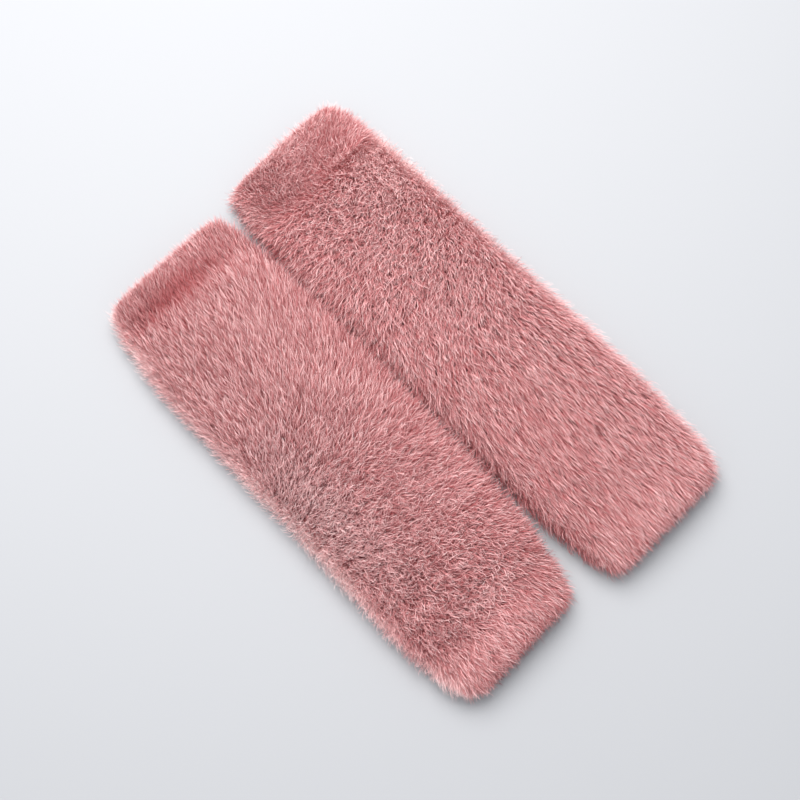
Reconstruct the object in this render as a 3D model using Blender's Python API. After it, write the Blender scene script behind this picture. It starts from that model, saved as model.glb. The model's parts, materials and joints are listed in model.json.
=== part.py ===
"""A pair of fluffy leg warmers laid flat, side by side, in metres with +Z up.

Each leg warmer is one knitted tube with a deep pile outside: a lower cuff, a leg and an upper
cuff, all open from end to end. A wall is the knit and the pile that it carries, so the outer
surface is where the fur reaches, and the inner surface is the plain side of the knit.
"""

import math

import bmesh
import bpy

MM = 0.001

# The cloth, from the floor up at the crown of a leg: pile pressed under the lower layer, knit,
# the flat hollow that a leg goes through, knit, and the standing pile of the upper layer.
PILE_UNDER = 6.0 * MM
KNIT = 2.0 * MM
HOLLOW = 5.6 * MM
PILE_SIDE = 10.0 * MM
SIDE_WALL = KNIT + PILE_SIDE
HOLLOW_LOW = PILE_UNDER + KNIT
HOLLOW_MIDDLE = HOLLOW_LOW + HOLLOW / 2

# The ends: the fur rounds off past the hem, and the mouth opens a little.
CORNER_RADIUS = 14.0 * MM
RIM_LENGTH = 7.0 * MM
RIM_DROP = 4.5 * MM
RIM_LIFT = 1.6 * MM
MOUTH_CORNER_RADIUS = 7.0 * MM
MOUTH_FLARE = 0.7 * MM
MOUTH_LENGTH = 12.0 * MM

# The cuffs, counted from the ends of the fur, and the slit left at each seam.
LOWER_CUFF = 38.0 * MM
UPPER_CUFF = 43.0 * MM
SEAM_GAP = 0.3 * MM

# The section: how square its sides and shoulders are, and how much of it lies flat.
WIDEST_AT = 0.43
SHOULDER_POWER = 3.2
ROUND_POWER = 2.1
FLATTENING = 1.45
HOLLOW_POWER = 5.0
HOLLOW_ROUND = 2.5
POINTS_ROUND = 40

RINGS_ON_LEG = 28
RINGS_ON_CUFF = 4
RINGS_ON_RIM = 6

# A leg warmer's sections from its lower end up: how far the fur reaches left and right of the
# middle line, and the height of its crown, all in millimetres.
COLUMNS = ("along", "left", "right", "height")

LEFT_SECTIONS = (
    (0.0, 56.5, 54.5, 22.5),
    (20.0, 58.5, 57.0, 23.5),
    (38.0, 61.0, 60.5, 22.0),
    (56.0, 63.5, 64.5, 26.5),
    (90.0, 64.5, 67.0, 27.5),
    (140.0, 65.0, 68.0, 28.0),
    (200.0, 65.5, 68.0, 28.0),
    (260.0, 66.0, 67.5, 27.5),
    (310.0, 66.5, 66.5, 27.0),
    (342.0, 65.0, 66.0, 25.5),
    (360.0, 62.5, 64.0, 21.5),
    (380.0, 59.5, 61.5, 22.5),
    (402.5, 56.0, 58.5, 22.0),
)

RIGHT_SECTIONS = (
    (0.0, 57.0, 58.0, 22.0),
    (20.0, 60.5, 60.0, 24.0),
    (38.0, 62.5, 62.0, 24.0),
    (58.0, 64.5, 63.5, 26.5),
    (95.0, 65.0, 65.5, 27.5),
    (150.0, 64.5, 65.5, 28.0),
    (215.0, 64.0, 64.8, 28.0),
    (290.0, 63.5, 64.0, 27.5),
    (340.0, 63.0, 63.8, 26.5),
    (363.0, 63.0, 63.0, 24.5),
    (381.0, 62.5, 61.5, 21.5),
    (401.0, 60.5, 59.0, 22.5),
    (423.5, 57.5, 56.5, 22.0),
)

# Soft troughs (negative) and ridges (positive) in the upper layer: place along and across from
# the middle line, half length and half width, turn from the long axis in degrees, and depth.
FOLD_COLUMNS = ("along", "across", "half_length", "half_width", "turn", "depth")

LEFT_FOLDS = (
    (366.0, -8.0, 11.0, 46.0, 3.0, -2.2),
    (349.0, 24.0, 12.0, 26.0, 12.0, 1.4),
    (292.0, -38.0, 34.0, 12.0, -18.0, -1.3),
    (238.0, 18.0, 38.0, 13.0, -32.0, 1.3),
    (196.0, -22.0, 40.0, 14.0, -36.0, -1.5),
    (148.0, 30.0, 30.0, 12.0, -58.0, -1.4),
    (112.0, -26.0, 24.0, 20.0, -20.0, 1.3),
    (54.0, 22.0, 10.0, 34.0, 8.0, -2.6),
    (47.0, -34.0, 9.0, 24.0, -12.0, -1.8),
    (24.0, 12.0, 9.0, 30.0, 4.0, 1.2),
)

RIGHT_FOLDS = (
    (384.0, 6.0, 12.0, 44.0, -5.0, -2.4),
    (398.0, 40.0, 14.0, 14.0, 20.0, -1.4),
    (356.0, -30.0, 17.0, 24.0, 24.0, -1.7),
    (338.0, 24.0, 20.0, 22.0, -20.0, 1.4),
    (296.0, -12.0, 26.0, 24.0, 35.0, -1.2),
    (232.0, 34.0, 42.0, 11.0, 12.0, 1.2),
    (188.0, -34.0, 46.0, 11.0, 8.0, 1.3),
    (120.0, 8.0, 44.0, 15.0, 14.0, -1.3),
    (52.0, -20.0, 11.0, 30.0, -6.0, -1.5),
    (30.0, 26.0, 10.0, 26.0, 5.0, 1.1),
)

# Where each leg warmer lies: the floor point under the middle of its lower end, the turn of its
# length from +Y, and how far its lower and upper ends run on at the right-hand side.
PLACES = {
    "left": {
        "at": (-70.5 * MM, -203.2 * MM),
        "turn": math.radians(-0.47),
        "lower_skew": 5.0 * MM,
        "upper_skew": 3.0 * MM,
        "sections": LEFT_SECTIONS,
        "folds": LEFT_FOLDS,
    },
    "right": {
        "at": (69.8 * MM, -212.2 * MM),
        "turn": math.radians(0.47),
        "lower_skew": 1.0 * MM,
        "upper_skew": 4.0 * MM,
        "sections": RIGHT_SECTIONS,
        "folds": RIGHT_FOLDS,
    },
}

FUR_COLOUR = (0.56, 0.25, 0.25, 1.0)
FUR_ROUGHNESS = 0.92
SHARP_EDGE = math.radians(50)


def clear_scene():
    for obj in list(bpy.data.objects):
        bpy.data.objects.remove(obj, do_unlink=True)


def fur_material():
    material = bpy.data.materials.new("dusty_pink_pile")
    material.use_nodes = True
    shader = material.node_tree.nodes["Principled BSDF"]
    shader.inputs["Base Color"].default_value = FUR_COLOUR
    shader.inputs["Roughness"].default_value = FUR_ROUGHNESS
    shader.inputs["Metallic"].default_value = 0.0
    return material


def smooth_between(rows, at, column):
    """The column's value at a place along, on a smooth curve through the rows."""
    last = len(rows) - 1
    i = next((k for k in range(last) if at <= rows[k + 1][0]), last - 1)
    before, here = rows[max(i - 1, 0)], rows[i]
    there, after = rows[i + 1], rows[min(i + 2, last)]
    span = there[0] - here[0]
    share = (at - here[0]) / span
    slope_here = (there[column] - before[column]) / (there[0] - before[0]) * span
    slope_there = (after[column] - here[column]) / (after[0] - here[0]) * span
    share2, share3 = share * share, share * share * share
    return (
        (2 * share3 - 3 * share2 + 1) * here[column]
        + (share3 - 2 * share2 + share) * slope_here
        + (3 * share2 - 2 * share3) * there[column]
        + (share3 - share2) * slope_there
    )


def section_at(sections, along):
    """Reach to the left and right, and crown height, in metres."""
    at = along / MM
    return [smooth_between(sections, at, COLUMNS.index(name)) * MM for name in COLUMNS[1:]]


def fold_relief(folds, along, across):
    """How far the folds raise or lower the upper layer at a point."""
    total = 0.0
    for row in folds:
        fold = dict(zip(FOLD_COLUMNS, row))
        turn = math.radians(fold["turn"])
        step_along = along / MM - fold["along"]
        step_across = across / MM - fold["across"]
        lengthwise = step_along * math.cos(turn) + step_across * math.sin(turn)
        sideways = step_across * math.cos(turn) - step_along * math.sin(turn)
        reach = (lengthwise / fold["half_length"]) ** 2 + (sideways / fold["half_width"]) ** 2
        total += fold["depth"] * MM * math.exp(-reach)
    return total


def rounding(distance, radius):
    """How far an edge of this radius has drawn in, this far from its end."""
    left = max(radius - distance, 0.0)
    return radius - math.sqrt(radius * radius - left * left)


def rim(distance, length, depth):
    """The same for an edge that draws in by depth over length."""
    return depth * rounding(min(distance / length, 1.0), 1.0)


def outer_ring(place, along):
    """The fur's reach round the tube, flat where it lies on the floor."""
    length = place["sections"][-1][0] * MM
    end = min(along, length - along)
    left, right, height = section_at(place["sections"], along)
    corner = rounding(end, CORNER_RADIUS)
    drop = rim(end, RIM_LENGTH, RIM_DROP)
    lift = rim(end, RIM_LENGTH, RIM_LIFT)
    widest = WIDEST_AT * height
    ring = []
    for k in range(POINTS_ROUND):
        angle = math.tau * k / POINTS_ROUND
        side = math.cos(angle)
        reach = (right if side > 0 else left) - corner
        across = reach * side
        fullness = max(1 - abs(side) ** SHOULDER_POWER, 0.0) ** (1 / ROUND_POWER)
        if math.sin(angle) >= 0:
            relief = fold_relief(place["folds"], along, across) * fullness
            up = widest + (height - drop - widest) * fullness + relief
        else:
            up = max(widest - widest * FLATTENING * fullness, lift)
        ring.append((across, up))
    return ring


def inner_ring(place, along):
    """The plain side of the knit round the hollow."""
    length = place["sections"][-1][0] * MM
    end = min(along, length - along)
    left, right, _ = section_at(place["sections"], along)
    corner = rounding(end, MOUTH_CORNER_RADIUS)
    half_height = HOLLOW / 2 + rim(end, MOUTH_LENGTH, MOUTH_FLARE)
    ring = []
    for k in range(POINTS_ROUND):
        angle = math.tau * k / POINTS_ROUND
        side = math.cos(angle)
        reach = (right if side > 0 else left) - corner - SIDE_WALL
        fullness = max(1 - abs(side) ** HOLLOW_POWER, 0.0) ** (1 / HOLLOW_ROUND)
        ring.append((reach * side, HOLLOW_MIDDLE + math.copysign(half_height, math.sin(angle)) * fullness))
    return ring


def skewed(place, along, across):
    """Where a point lies along, with the ends running on at one side."""
    sections = place["sections"]
    length = sections[-1][0] * MM
    share = along / length
    half_width = sections[len(sections) // 2][1] * MM
    skew = share * place["upper_skew"] + (1 - share) * place["lower_skew"]
    return along + skew * across / (2 * half_width)


def tube_piece(name, place, stations, material, collection, carrier):
    """One closed wall through the sections at these stations, open along its hollow."""
    shape = bmesh.new()
    outer = []
    inner = []
    for along in stations:
        for rings, section in ((outer, outer_ring), (inner, inner_ring)):
            points = section(place, along)
            rings.append([shape.verts.new((x, skewed(place, along, x), z)) for x, z in points])
    for k in range(POINTS_ROUND):
        n = (k + 1) % POINTS_ROUND
        for low, high in zip(outer, outer[1:]):
            shape.faces.new((low[k], high[k], high[n], low[n]))
        for low, high in zip(inner, inner[1:]):
            shape.faces.new((low[k], low[n], high[n], high[k]))
        shape.faces.new((outer[0][k], outer[0][n], inner[0][n], inner[0][k]))
        shape.faces.new((outer[-1][n], outer[-1][k], inner[-1][k], inner[-1][n]))
    bmesh.ops.recalc_face_normals(shape, faces=shape.faces)
    mesh = bpy.data.meshes.new(name)
    shape.to_mesh(mesh)
    shape.free()
    mesh.shade_smooth()
    mesh.set_sharp_from_angle(angle=SHARP_EDGE)
    mesh.materials.append(material)
    obj = bpy.data.objects.new(name, mesh)
    obj.parent = carrier
    collection.objects.link(obj)
    return obj


def even_steps(start, stop, count):
    return [start + (stop - start) * k / (count - 1) for k in range(count)]


def leg_warmer(side, place, material, collection):
    """The lower cuff, the leg and the upper cuff of one leg warmer."""
    length = place["sections"][-1][0] * MM
    upper_seam = length - UPPER_CUFF
    half_gap = SEAM_GAP / 2
    carrier = bpy.data.objects.new(side + "_leg_warmer", None)
    carrier.location = (*place["at"], 0.0)
    carrier.rotation_euler = (0.0, 0.0, place["turn"])
    collection.objects.link(carrier)

    quarter_turns = even_steps(0.0, math.pi / 2, RINGS_ON_RIM)
    rim_rings = [CORNER_RADIUS * (1 - math.cos(turn)) for turn in quarter_turns]
    lower_rings = rim_rings + even_steps(CORNER_RADIUS, LOWER_CUFF - half_gap, RINGS_ON_CUFF)[1:]
    leg_rings = even_steps(LOWER_CUFF + half_gap, upper_seam - half_gap, RINGS_ON_LEG)
    upper_rings = even_steps(upper_seam + half_gap, length - CORNER_RADIUS, RINGS_ON_CUFF)[:-1]
    upper_rings += [length - ring for ring in reversed(rim_rings)]

    for piece, stations in (("lower_cuff", lower_rings), ("leg", leg_rings), ("upper_cuff", upper_rings)):
        tube_piece(side + "_" + piece, place, stations, material, collection, carrier)


def main():
    clear_scene()
    collection = bpy.data.collections.new("pair_of_leg_warmers")
    bpy.context.scene.collection.children.link(collection)
    material = fur_material()
    for side, place in PLACES.items():
        leg_warmer(side, place, material, collection)


main()
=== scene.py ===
"""A pair of fluffy leg warmers laid flat side by side, in metres with +Z up.

Each leg warmer is a knitted tube in three stretches, a lower cuff, a leg and an upper cuff. The
knit is a thin wall with a turned hem, and deep fur grows from its outer side. The fur lies the
way of a comb: a short table of directions along and across each leg warmer.
"""

import cmath
import json
import math

import bpy
import numpy as np
from bpy.props import FloatProperty, FloatVectorProperty, IntProperty, PointerProperty
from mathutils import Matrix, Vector

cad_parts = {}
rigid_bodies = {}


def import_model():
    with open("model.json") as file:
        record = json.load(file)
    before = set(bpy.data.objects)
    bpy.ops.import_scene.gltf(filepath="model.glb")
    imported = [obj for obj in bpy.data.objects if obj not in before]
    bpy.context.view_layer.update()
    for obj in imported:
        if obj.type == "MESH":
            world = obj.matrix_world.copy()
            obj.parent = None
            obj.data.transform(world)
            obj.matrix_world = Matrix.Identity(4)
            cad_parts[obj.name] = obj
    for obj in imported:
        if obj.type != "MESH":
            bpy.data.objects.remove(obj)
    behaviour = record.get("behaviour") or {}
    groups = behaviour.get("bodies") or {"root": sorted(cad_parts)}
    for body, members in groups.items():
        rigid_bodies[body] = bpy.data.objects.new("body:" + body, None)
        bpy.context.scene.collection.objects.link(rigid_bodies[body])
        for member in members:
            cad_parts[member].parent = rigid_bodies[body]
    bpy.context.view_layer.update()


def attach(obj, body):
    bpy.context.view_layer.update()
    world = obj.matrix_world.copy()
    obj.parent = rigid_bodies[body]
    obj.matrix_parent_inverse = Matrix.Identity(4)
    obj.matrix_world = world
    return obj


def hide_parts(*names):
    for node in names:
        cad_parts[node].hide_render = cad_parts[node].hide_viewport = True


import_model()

bl_info = {
    "name": "Fluffy Leg Warmers",
    "version": (1, 0, 0),
    "blender": (4, 5, 0),
    "location": "3D View > Sidebar > Leg Warmers",
    "description": "Makes a pair of knitted leg warmers with deep combed fur, and a studio for it",
    "category": "Add Mesh",
}

MM = 0.001
DEGREE = math.radians(1.0)
BODY = "root"

# The form of the solids that the fur reaches, with the same names and sizes as in the frame.

CORNER_RADIUS = 9.0 * MM
RIM_LENGTH = 7.0 * MM
RIM_DROP = 4.5 * MM
RIM_LIFT = 1.6 * MM
LOWER_CUFF = 38.0 * MM
UPPER_CUFF = 43.0 * MM
SEAM_GAP = 0.3 * MM
WIDEST_AT = 0.43
SHOULDER_POWER = 3.2
ROUND_POWER = 2.1
FLATTENING = 1.45
HOLLOW_POWER = 5.0
HOLLOW_ROUND = 2.5

# A leg warmer's sections from its lower end up: how far the fur reaches left and right of the
# middle line, and the height of its crown, all in millimetres.
COLUMNS = ("along", "left", "right", "height")

LEFT_SECTIONS = (
    (0, 56.5, 54.5, 22.5),
    (20, 58.5, 57, 23.5),
    (38, 61, 60.5, 22),
    (56, 63.5, 64.5, 26.5),
    (90, 64.5, 67, 27.5),
    (140, 65, 68, 28),
    (200, 65.5, 68, 28),
    (260, 66, 67.5, 27.5),
    (310, 66.5, 66.5, 27),
    (342, 65, 66, 25.5),
    (360, 62.5, 64, 21.5),
    (380, 59.5, 61.5, 22.5),
    (402.5, 56, 58.5, 22),
)

RIGHT_SECTIONS = (
    (0, 57, 58, 22),
    (20, 60.5, 60, 24),
    (38, 62.5, 62, 24),
    (58, 64.5, 63.5, 26.5),
    (95, 65, 65.5, 27.5),
    (150, 64.5, 65.5, 28),
    (215, 64, 64.8, 28),
    (290, 63.5, 64, 27.5),
    (340, 63, 63.8, 26.5),
    (363, 63, 63, 24.5),
    (381, 62.5, 61.5, 21.5),
    (401, 60.5, 59, 22.5),
    (423.5, 57.5, 56.5, 22),
)

# Soft troughs (negative) and ridges (positive) in the upper layer: place along and across from
# the middle line, half length and half width, turn from the long axis in degrees, and depth.
FOLD_COLUMNS = ("along", "across", "half_length", "half_width", "turn", "depth")

LEFT_FOLDS = (
    (366, -8, 11, 46, 3, -2.2),
    (349, 24, 12, 26, 12, 1.4),
    (292, -38, 34, 12, -18, -1.3),
    (238, 18, 38, 13, -32, 1.3),
    (196, -22, 40, 14, -36, -1.5),
    (148, 30, 30, 12, -58, -1.4),
    (112, -26, 24, 20, -20, 1.3),
    (54, 22, 10, 34, 8, -2.6),
    (47, -34, 9, 24, -12, -1.8),
    (24, 12, 9, 30, 4, 1.2),
)

RIGHT_FOLDS = (
    (384, 6, 12, 44, -5, -2.4),
    (398, 40, 14, 14, 20, -1.4),
    (356, -30, 17, 24, 24, -1.7),
    (338, 24, 20, 22, -20, 1.4),
    (296, -12, 26, 24, 35, -1.2),
    (232, 34, 42, 11, 12, 1.2),
    (188, -34, 46, 11, 8, 1.3),
    (120, 8, 44, 15, 14, -1.3),
    (52, -20, 11, 30, -6, -1.5),
    (30, 26, 10, 26, 5, 1.1),
)

# The comb: where the tips of the fur point, in degrees from the way to the lower end, turning
# towards +X, at COMB_REACH left of the middle line, on it, and as far right of it. Then how far
# the locks turn from it, and how far each strand strays on its own, from 0 to 1.
COMB_COLUMNS = ("along", "left", "middle", "right", "locks", "strays")
COMB_REACH = 50.0 * MM
COMB_POWER = 1.5

LEFT_COMB = (
    (0, -35, 24, 24, 0.3, 0.3),
    (30, -30, 9, 26, 0.35, 0.25),
    (50, -10, 24, 46, 0.8, 0.7),
    (72, 8, 33, 42, 1, 0.5),
    (92, 18, 48, 44, 1, 0.7),
    (112, 38, 66, 62, 0.9, 0.6),
    (132, 54, 70, 70, 0.9, 0.55),
    (152, 66, 72, 76, 0.9, 0.55),
    (172, 84, 84, 88, 0.75, 0.5),
    (192, 112, 104, 108, 0.5, 0.4),
    (212, 138, 126, 126, 0.35, 0.3),
    (240, 156, 142, 137, 0.2, 0.15),
    (270, 165, 158, 150, 0.15, 0.1),
    (302, 164, 162, 146, 0.15, 0.1),
    (332, 170, 170, 168, 0.15, 0.1),
    (372, 180, 166, 164, 0.15, 0.15),
    (402.5, 175, 176, 164, 0.25, 0.4),
)

RIGHT_COMB = (
    (0, -22, -4, 22, 0.1, 0),
    (30, -5, -3, 8, 0.1, 0),
    (70, 1, -8, -8, 0.1, 0),
    (110, 6, -7, -8, 0.1, 0),
    (150, -6, -14, 0, 0.15, 0.05),
    (175, -10, -14, 4, 0.2, 0.1),
    (195, -20, -26, 0, 0.3, 0.2),
    (220, -12, -42, -18, 0.3, 0.2),
    (250, -28, -45, -22, 0.45, 0.3),
    (280, -50, -52, -32, 0.5, 0.35),
    (310, -65, -60, -32, 0.6, 0.5),
    (340, -66, -62, -28, 0.7, 0.75),
    (362, -68, -64, -20, 0.8, 0.9),
    (381, -140, -205, 85, 0.8, 0.9),
    (400, -155, -218, 100, 0.7, 0.85),
    (423.5, -160, -218, 108, 0.5, 0.7),
)

# Painted light (positive) and painted shade (negative) on the fur: painted shade in troughs and
# creases, at the lower ends and by the gap, and painted light on ridges, on the outer sides that
# face away from the lamp, on the backlit upper ends and where the fur's lie turns it from the light.
# The same columns as a fold, with the change of painted light instead of the depth.
PAINTED_LIGHT_COLUMNS = ("along", "across", "half_length", "half_width", "turn", "tone")

LEFT_PAINTED_LIGHT = (
    (364, -6, 16, 40, 2, -0.55),
    (366, -56, 28, 12, 0, 0.25),
    (402, 0, 9, 70, 0, 0.7),
    (63, -6, 6, 30, 6, -0.22),
    (60, -42, 7, 14, 0, -0.12),
    (50, 8, 6, 34, 6, 0.18),
    (165, -38, 80, 24, 0, 0.26),
    (10, -56, 16, 12, 0, 0.3),
    (34, -36, 10, 20, 0, 0.08),
    (260, 50, 100, 14, 0, -0.14),
    (0, 0, 11, 70, 0, -0.6),
)

RIGHT_PAINTED_LIGHT = (
    (369, -10, 12, 30, -4, -0.2),
    (392, 20, 13, 34, 0, -0.22),
    (364, 42, 9, 16, 0, 0.14),
    (340, 36, 34, 24, 0, 0.2),
    (392, -52, 26, 14, 0, 0.3),
    (423, 0, 9.5, 70, 0, 0.7),
    (130, -26, 170, 26, 0, -0.1),
    (115, 10, 100, 50, 0, -0.05),
    (0, 0, 10, 70, 0, -0.3),
)

# How far beyond its solid the fur reaches into the gap between the two, at places along.
LEFT_INNER_REACH = ((0, 0), (70, 1.5), (200, 2), (320, 0.5), (402.5, 0))
RIGHT_INNER_REACH = ((0, 0), (70, 1.5), (200, 2.5), (330, 5), (423.5, 3))

# Where each leg warmer lies: the floor point under the middle of its lower end, the turn of its
# length from +Y, how far its lower and upper ends run on at the right-hand side, and on which
# side the other leg warmer is.
PLACES = {
    "left": {
        "at": (-70.5 * MM, -203.2 * MM),
        "turn": -0.47 * DEGREE,
        "lower_skew": 5.0 * MM,
        "upper_skew": 3.0 * MM,
        "sections": LEFT_SECTIONS,
        "folds": LEFT_FOLDS,
        "comb": LEFT_COMB,
        "painted_light_patches": LEFT_PAINTED_LIGHT,
        "inner": 1.0,
        "inner_reach": LEFT_INNER_REACH,
    },
    "right": {
        "at": (69.8 * MM, -212.2 * MM),
        "turn": 0.47 * DEGREE,
        "lower_skew": 1.0 * MM,
        "upper_skew": 4.0 * MM,
        "sections": RIGHT_SECTIONS,
        "folds": RIGHT_FOLDS,
        "comb": RIGHT_COMB,
        "painted_light_patches": RIGHT_PAINTED_LIGHT,
        "inner": -1.0,
        "inner_reach": RIGHT_INNER_REACH,
    },
}

# The knit's wall and where the fur grows on it.

POINTS_ROUND = 88
WALL_STEP = 8.0 * MM
SKIN_STEP = 4.0 * MM
HEM_TURN_RINGS = 5
HEM_BULGE = 1.3 * MM
WALES_ROUND = 180
COURSE = 1.0 * MM

# Near its ends the fur flares out past the hem. Strands may lie this far past the end of the
# solid, the crown's tips draw back from it, those at the lower end droop, and the corners draw
# in, least where they face the other leg warmer.
FLARE_LENGTH = 15.0 * MM
OVERREACH = {"low": 2.5 * MM, "high": -5.0 * MM}
END_DRAW = {"low": 3.5 * MM, "high": 8.5 * MM}
END_DROOP = 0.9
CORNER_DRAW = {"low": 8.5 * MM, "high": 5.5 * MM}
CORNER_DRAW_LENGTH = 35.0 * MM
CORNER_DRAW_POWER = 1.5
INNER_CORNER = 0.4

# The sides begin at this share of the half width. Strands there may lie this far past the solid,
# lean outward and are painted paler, as painted light through their tips. The side that faces the
# other leg warmer gets painted shade instead, for the shadow in the gap, from this height down
# and away from the ends.
SIDE_FROM = 0.85
SIDE_OVERREACH = 3.0 * MM
SIDE_HANG = 0.4
SIDE_PAINTED_LIGHT = 0.33
GAP_PAINTED_SHADE = 0.8
GAP_TOP = 0.28
GAP_END = 60.0 * MM

# How much shorter strands lie where locks and strays are full, and at the sides.
LOCK_SHORTER = 0.15
STRAY_SHORTER = 0.4
SIDE_SHORTER = 0.35
SHORTEST_LAY = 1.5 * MM

# The least values that are divided by.
LEAST_HEADING = 0.01
LEAST_LENGTH = 1e-9

# Strands are closer at the sides and ends. Underneath they are few, and spread on the floor.
EDGE_COVER = 1.0
UNDERSIDE_COVER = 0.16
UNDERSIDE_FROM = 0.55
FLOOR_SPREAD = 0.6
FLOOR_SPREAD_RISE = 4

# A strand's own mesh: places along it and its width there, as shares.
LONG_STRAND = ((0.0, 0.75), (0.4, 1.0), (0.75, 0.72), (1.0, 0.0))
SHORT_STRAND = ((0.0, 0.85), (0.55, 1.0), (1.0, 0.0))

# A strand's island on its UV map: a column for its own tone, a row for the painted light and
# shade of its place, which is at the unpainted level where a place has neither.
TONE_COLUMNS_ON_MAP = 256
PAINTED_LIGHT_ROWS_ON_MAP = 8
ROW_MARGIN = 0.04
ISLAND_WIDTH = 0.7
UNPAINTED_LEVEL = 0.5
JUST_UNDER = 0.01

# What the skin tells the fur at each of its points, and the kind of each fact.
SKIN_FACTS = {
    "rise": "FLOAT_VECTOR",
    "lay": "FLOAT_VECTOR",
    "locks": "FLOAT",
    "strays": "FLOAT",
    "tone": "FLOAT",
    "soft": "FLOAT",
    "cover": "FLOAT",
}


def smooth_between(rows, at, column):
    """The column's value at a place along, on a smooth curve through the rows."""
    last = len(rows) - 1
    i = next((k for k in range(last) if at <= rows[k + 1][0]), last - 1)
    before, here = rows[max(i - 1, 0)], rows[i]
    there, after = rows[i + 1], rows[min(i + 2, last)]
    span = there[0] - here[0]
    share = (at - here[0]) / span
    slope_here = (there[column] - before[column]) / (there[0] - before[0]) * span
    slope_there = (after[column] - here[column]) / (after[0] - here[0]) * span
    share2, share3 = share * share, share * share * share
    return (
        (2 * share3 - 3 * share2 + 1) * here[column]
        + (share3 - 2 * share2 + share) * slope_here
        + (3 * share2 - 2 * share3) * there[column]
        + (share3 - share2) * slope_there
    )


def section_at(place, along):
    """Reach to the left and right, and crown height, in metres."""
    at = along / MM
    return [smooth_between(place["sections"], at, k) * MM for k in range(1, len(COLUMNS))]


def patches(rows, columns, along, across):
    """The sum of soft oval patches at a point, each worth the row's last column at its middle."""
    total = 0.0
    for row in rows:
        patch = dict(zip(columns, row))
        turn = patch["turn"] * DEGREE
        step_along = along / MM - patch["along"]
        step_across = across / MM - patch["across"]
        lengthwise = step_along * math.cos(turn) + step_across * math.sin(turn)
        sideways = step_across * math.cos(turn) - step_along * math.sin(turn)
        reach = (lengthwise / patch["half_length"]) ** 2 + (sideways / patch["half_width"]) ** 2
        total += row[-1] * math.exp(-reach)
    return total


def fold_relief(place, along, across):
    return patches(place["folds"], FOLD_COLUMNS, along, across) * MM


def rounding(distance, radius):
    """How far an edge of this radius has drawn in, this far from its end."""
    left = max(radius - distance, 0.0)
    return radius - math.sqrt(radius * radius - left * left)


def rim(distance, length, depth):
    """The same for an edge that draws in by depth over length."""
    return depth * rounding(min(distance / length, 1.0), 1.0)


def length_of(place):
    return place["sections"][-1][0] * MM


def skewed(place, along, across):
    """Where a point lies along, with the ends running on at one side."""
    share = along / length_of(place)
    half_width = place["sections"][len(place["sections"]) // 2][1] * MM
    skew = share * place["upper_skew"] + (1 - share) * place["lower_skew"]
    return along + skew * across / (2 * half_width)


def placed(place, along, across, up):
    """A point of a leg warmer in the frame."""
    y = skewed(place, along, across)
    c, s = math.cos(place["turn"]), math.sin(place["turn"])
    return (place["at"][0] + across * c - y * s, place["at"][1] + across * s + y * c, up)


def angles_round():
    return [math.tau * k / POINTS_ROUND for k in range(POINTS_ROUND)]


def fur_ring(place, along):
    """How far the fur reaches round the tube: across and up, flat where it lies on the floor."""
    end = min(along, length_of(place) - along)
    left, right, height = section_at(place, along)
    corner = rounding(end, CORNER_RADIUS)
    drop = rim(end, RIM_LENGTH, RIM_DROP)
    lift = rim(end, RIM_LENGTH, RIM_LIFT)
    widest = WIDEST_AT * height
    ring = []
    for angle in angles_round():
        side = math.cos(angle)
        across = ((right if side > 0 else left) - corner) * side
        fullness = max(1 - abs(side) ** SHOULDER_POWER, 0.0) ** (1 / ROUND_POWER)
        if math.sin(angle) >= 0:
            relief = fold_relief(place, along, across) * fullness
            up = widest + (height - drop - widest) * fullness + relief
        else:
            up = max(widest - widest * FLATTENING * fullness, lift)
        ring.append((across, up))
    return ring


def wall_ring(place, sizes, along, depth):
    """The knit round the tube: across and up, at a depth from its outer side, 0, to its inner."""
    left, right, _ = section_at(place, along)
    half_height = sizes.hollow / 2 + sizes.knit * (1 - depth)
    middle = sizes.pile_under + sizes.knit + sizes.hollow / 2
    ring = []
    for angle in angles_round():
        side = math.cos(angle)
        across = ((right if side > 0 else left) - sizes.pile_side - sizes.knit * depth) * side
        fullness = max(1 - abs(side) ** HOLLOW_POWER, 0.0) ** (1 / HOLLOW_ROUND)
        up = middle + math.copysign(half_height, math.sin(angle)) * fullness
        if math.sin(angle) > 0:
            up += fold_relief(place, along, across) * fullness
        ring.append((across, up))
    return ring


def stretches(place, sizes):
    """Each stretch's ends along the tube, and which of them is a hem."""
    length = length_of(place)
    upper_seam = length - UPPER_CUFF
    half_gap = SEAM_GAP / 2
    return {
        "lower_cuff": (sizes.hem_inset, LOWER_CUFF - half_gap, "low"),
        "leg": (LOWER_CUFF + half_gap, upper_seam - half_gap, None),
        "upper_cuff": (upper_seam + half_gap, length - sizes.hem_inset, "high"),
    }


def even_steps(start, stop, step):
    count = max(int(round((stop - start) / step)), 1)
    return [start + (stop - start) * k / count for k in range(count + 1)]


def hem_turn(share):
    """The hem's rounded edge at a share of its turn: how far out, and how deep in the wall."""
    return HEM_BULGE * math.sin(math.pi * share), (1 - math.cos(math.pi * share)) / 2


def wall_stations(start, stop, hem):
    """(along, depth) of each ring right round a wall, out along its outer side and back."""
    outer = [(along, 0.0) for along in even_steps(start, stop, WALL_STEP)]
    inner = [(along, 1.0) for along in reversed(even_steps(start, stop, WALL_STEP))]
    turns = [hem_turn(k / HEM_TURN_RINGS) for k in range(1, HEM_TURN_RINGS)]
    high = [(stop + out, depth) for out, depth in turns] if hem == "high" else []
    low = [(start - out, 1 - depth) for out, depth in turns] if hem == "low" else []
    return outer + high + inner + low


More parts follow.
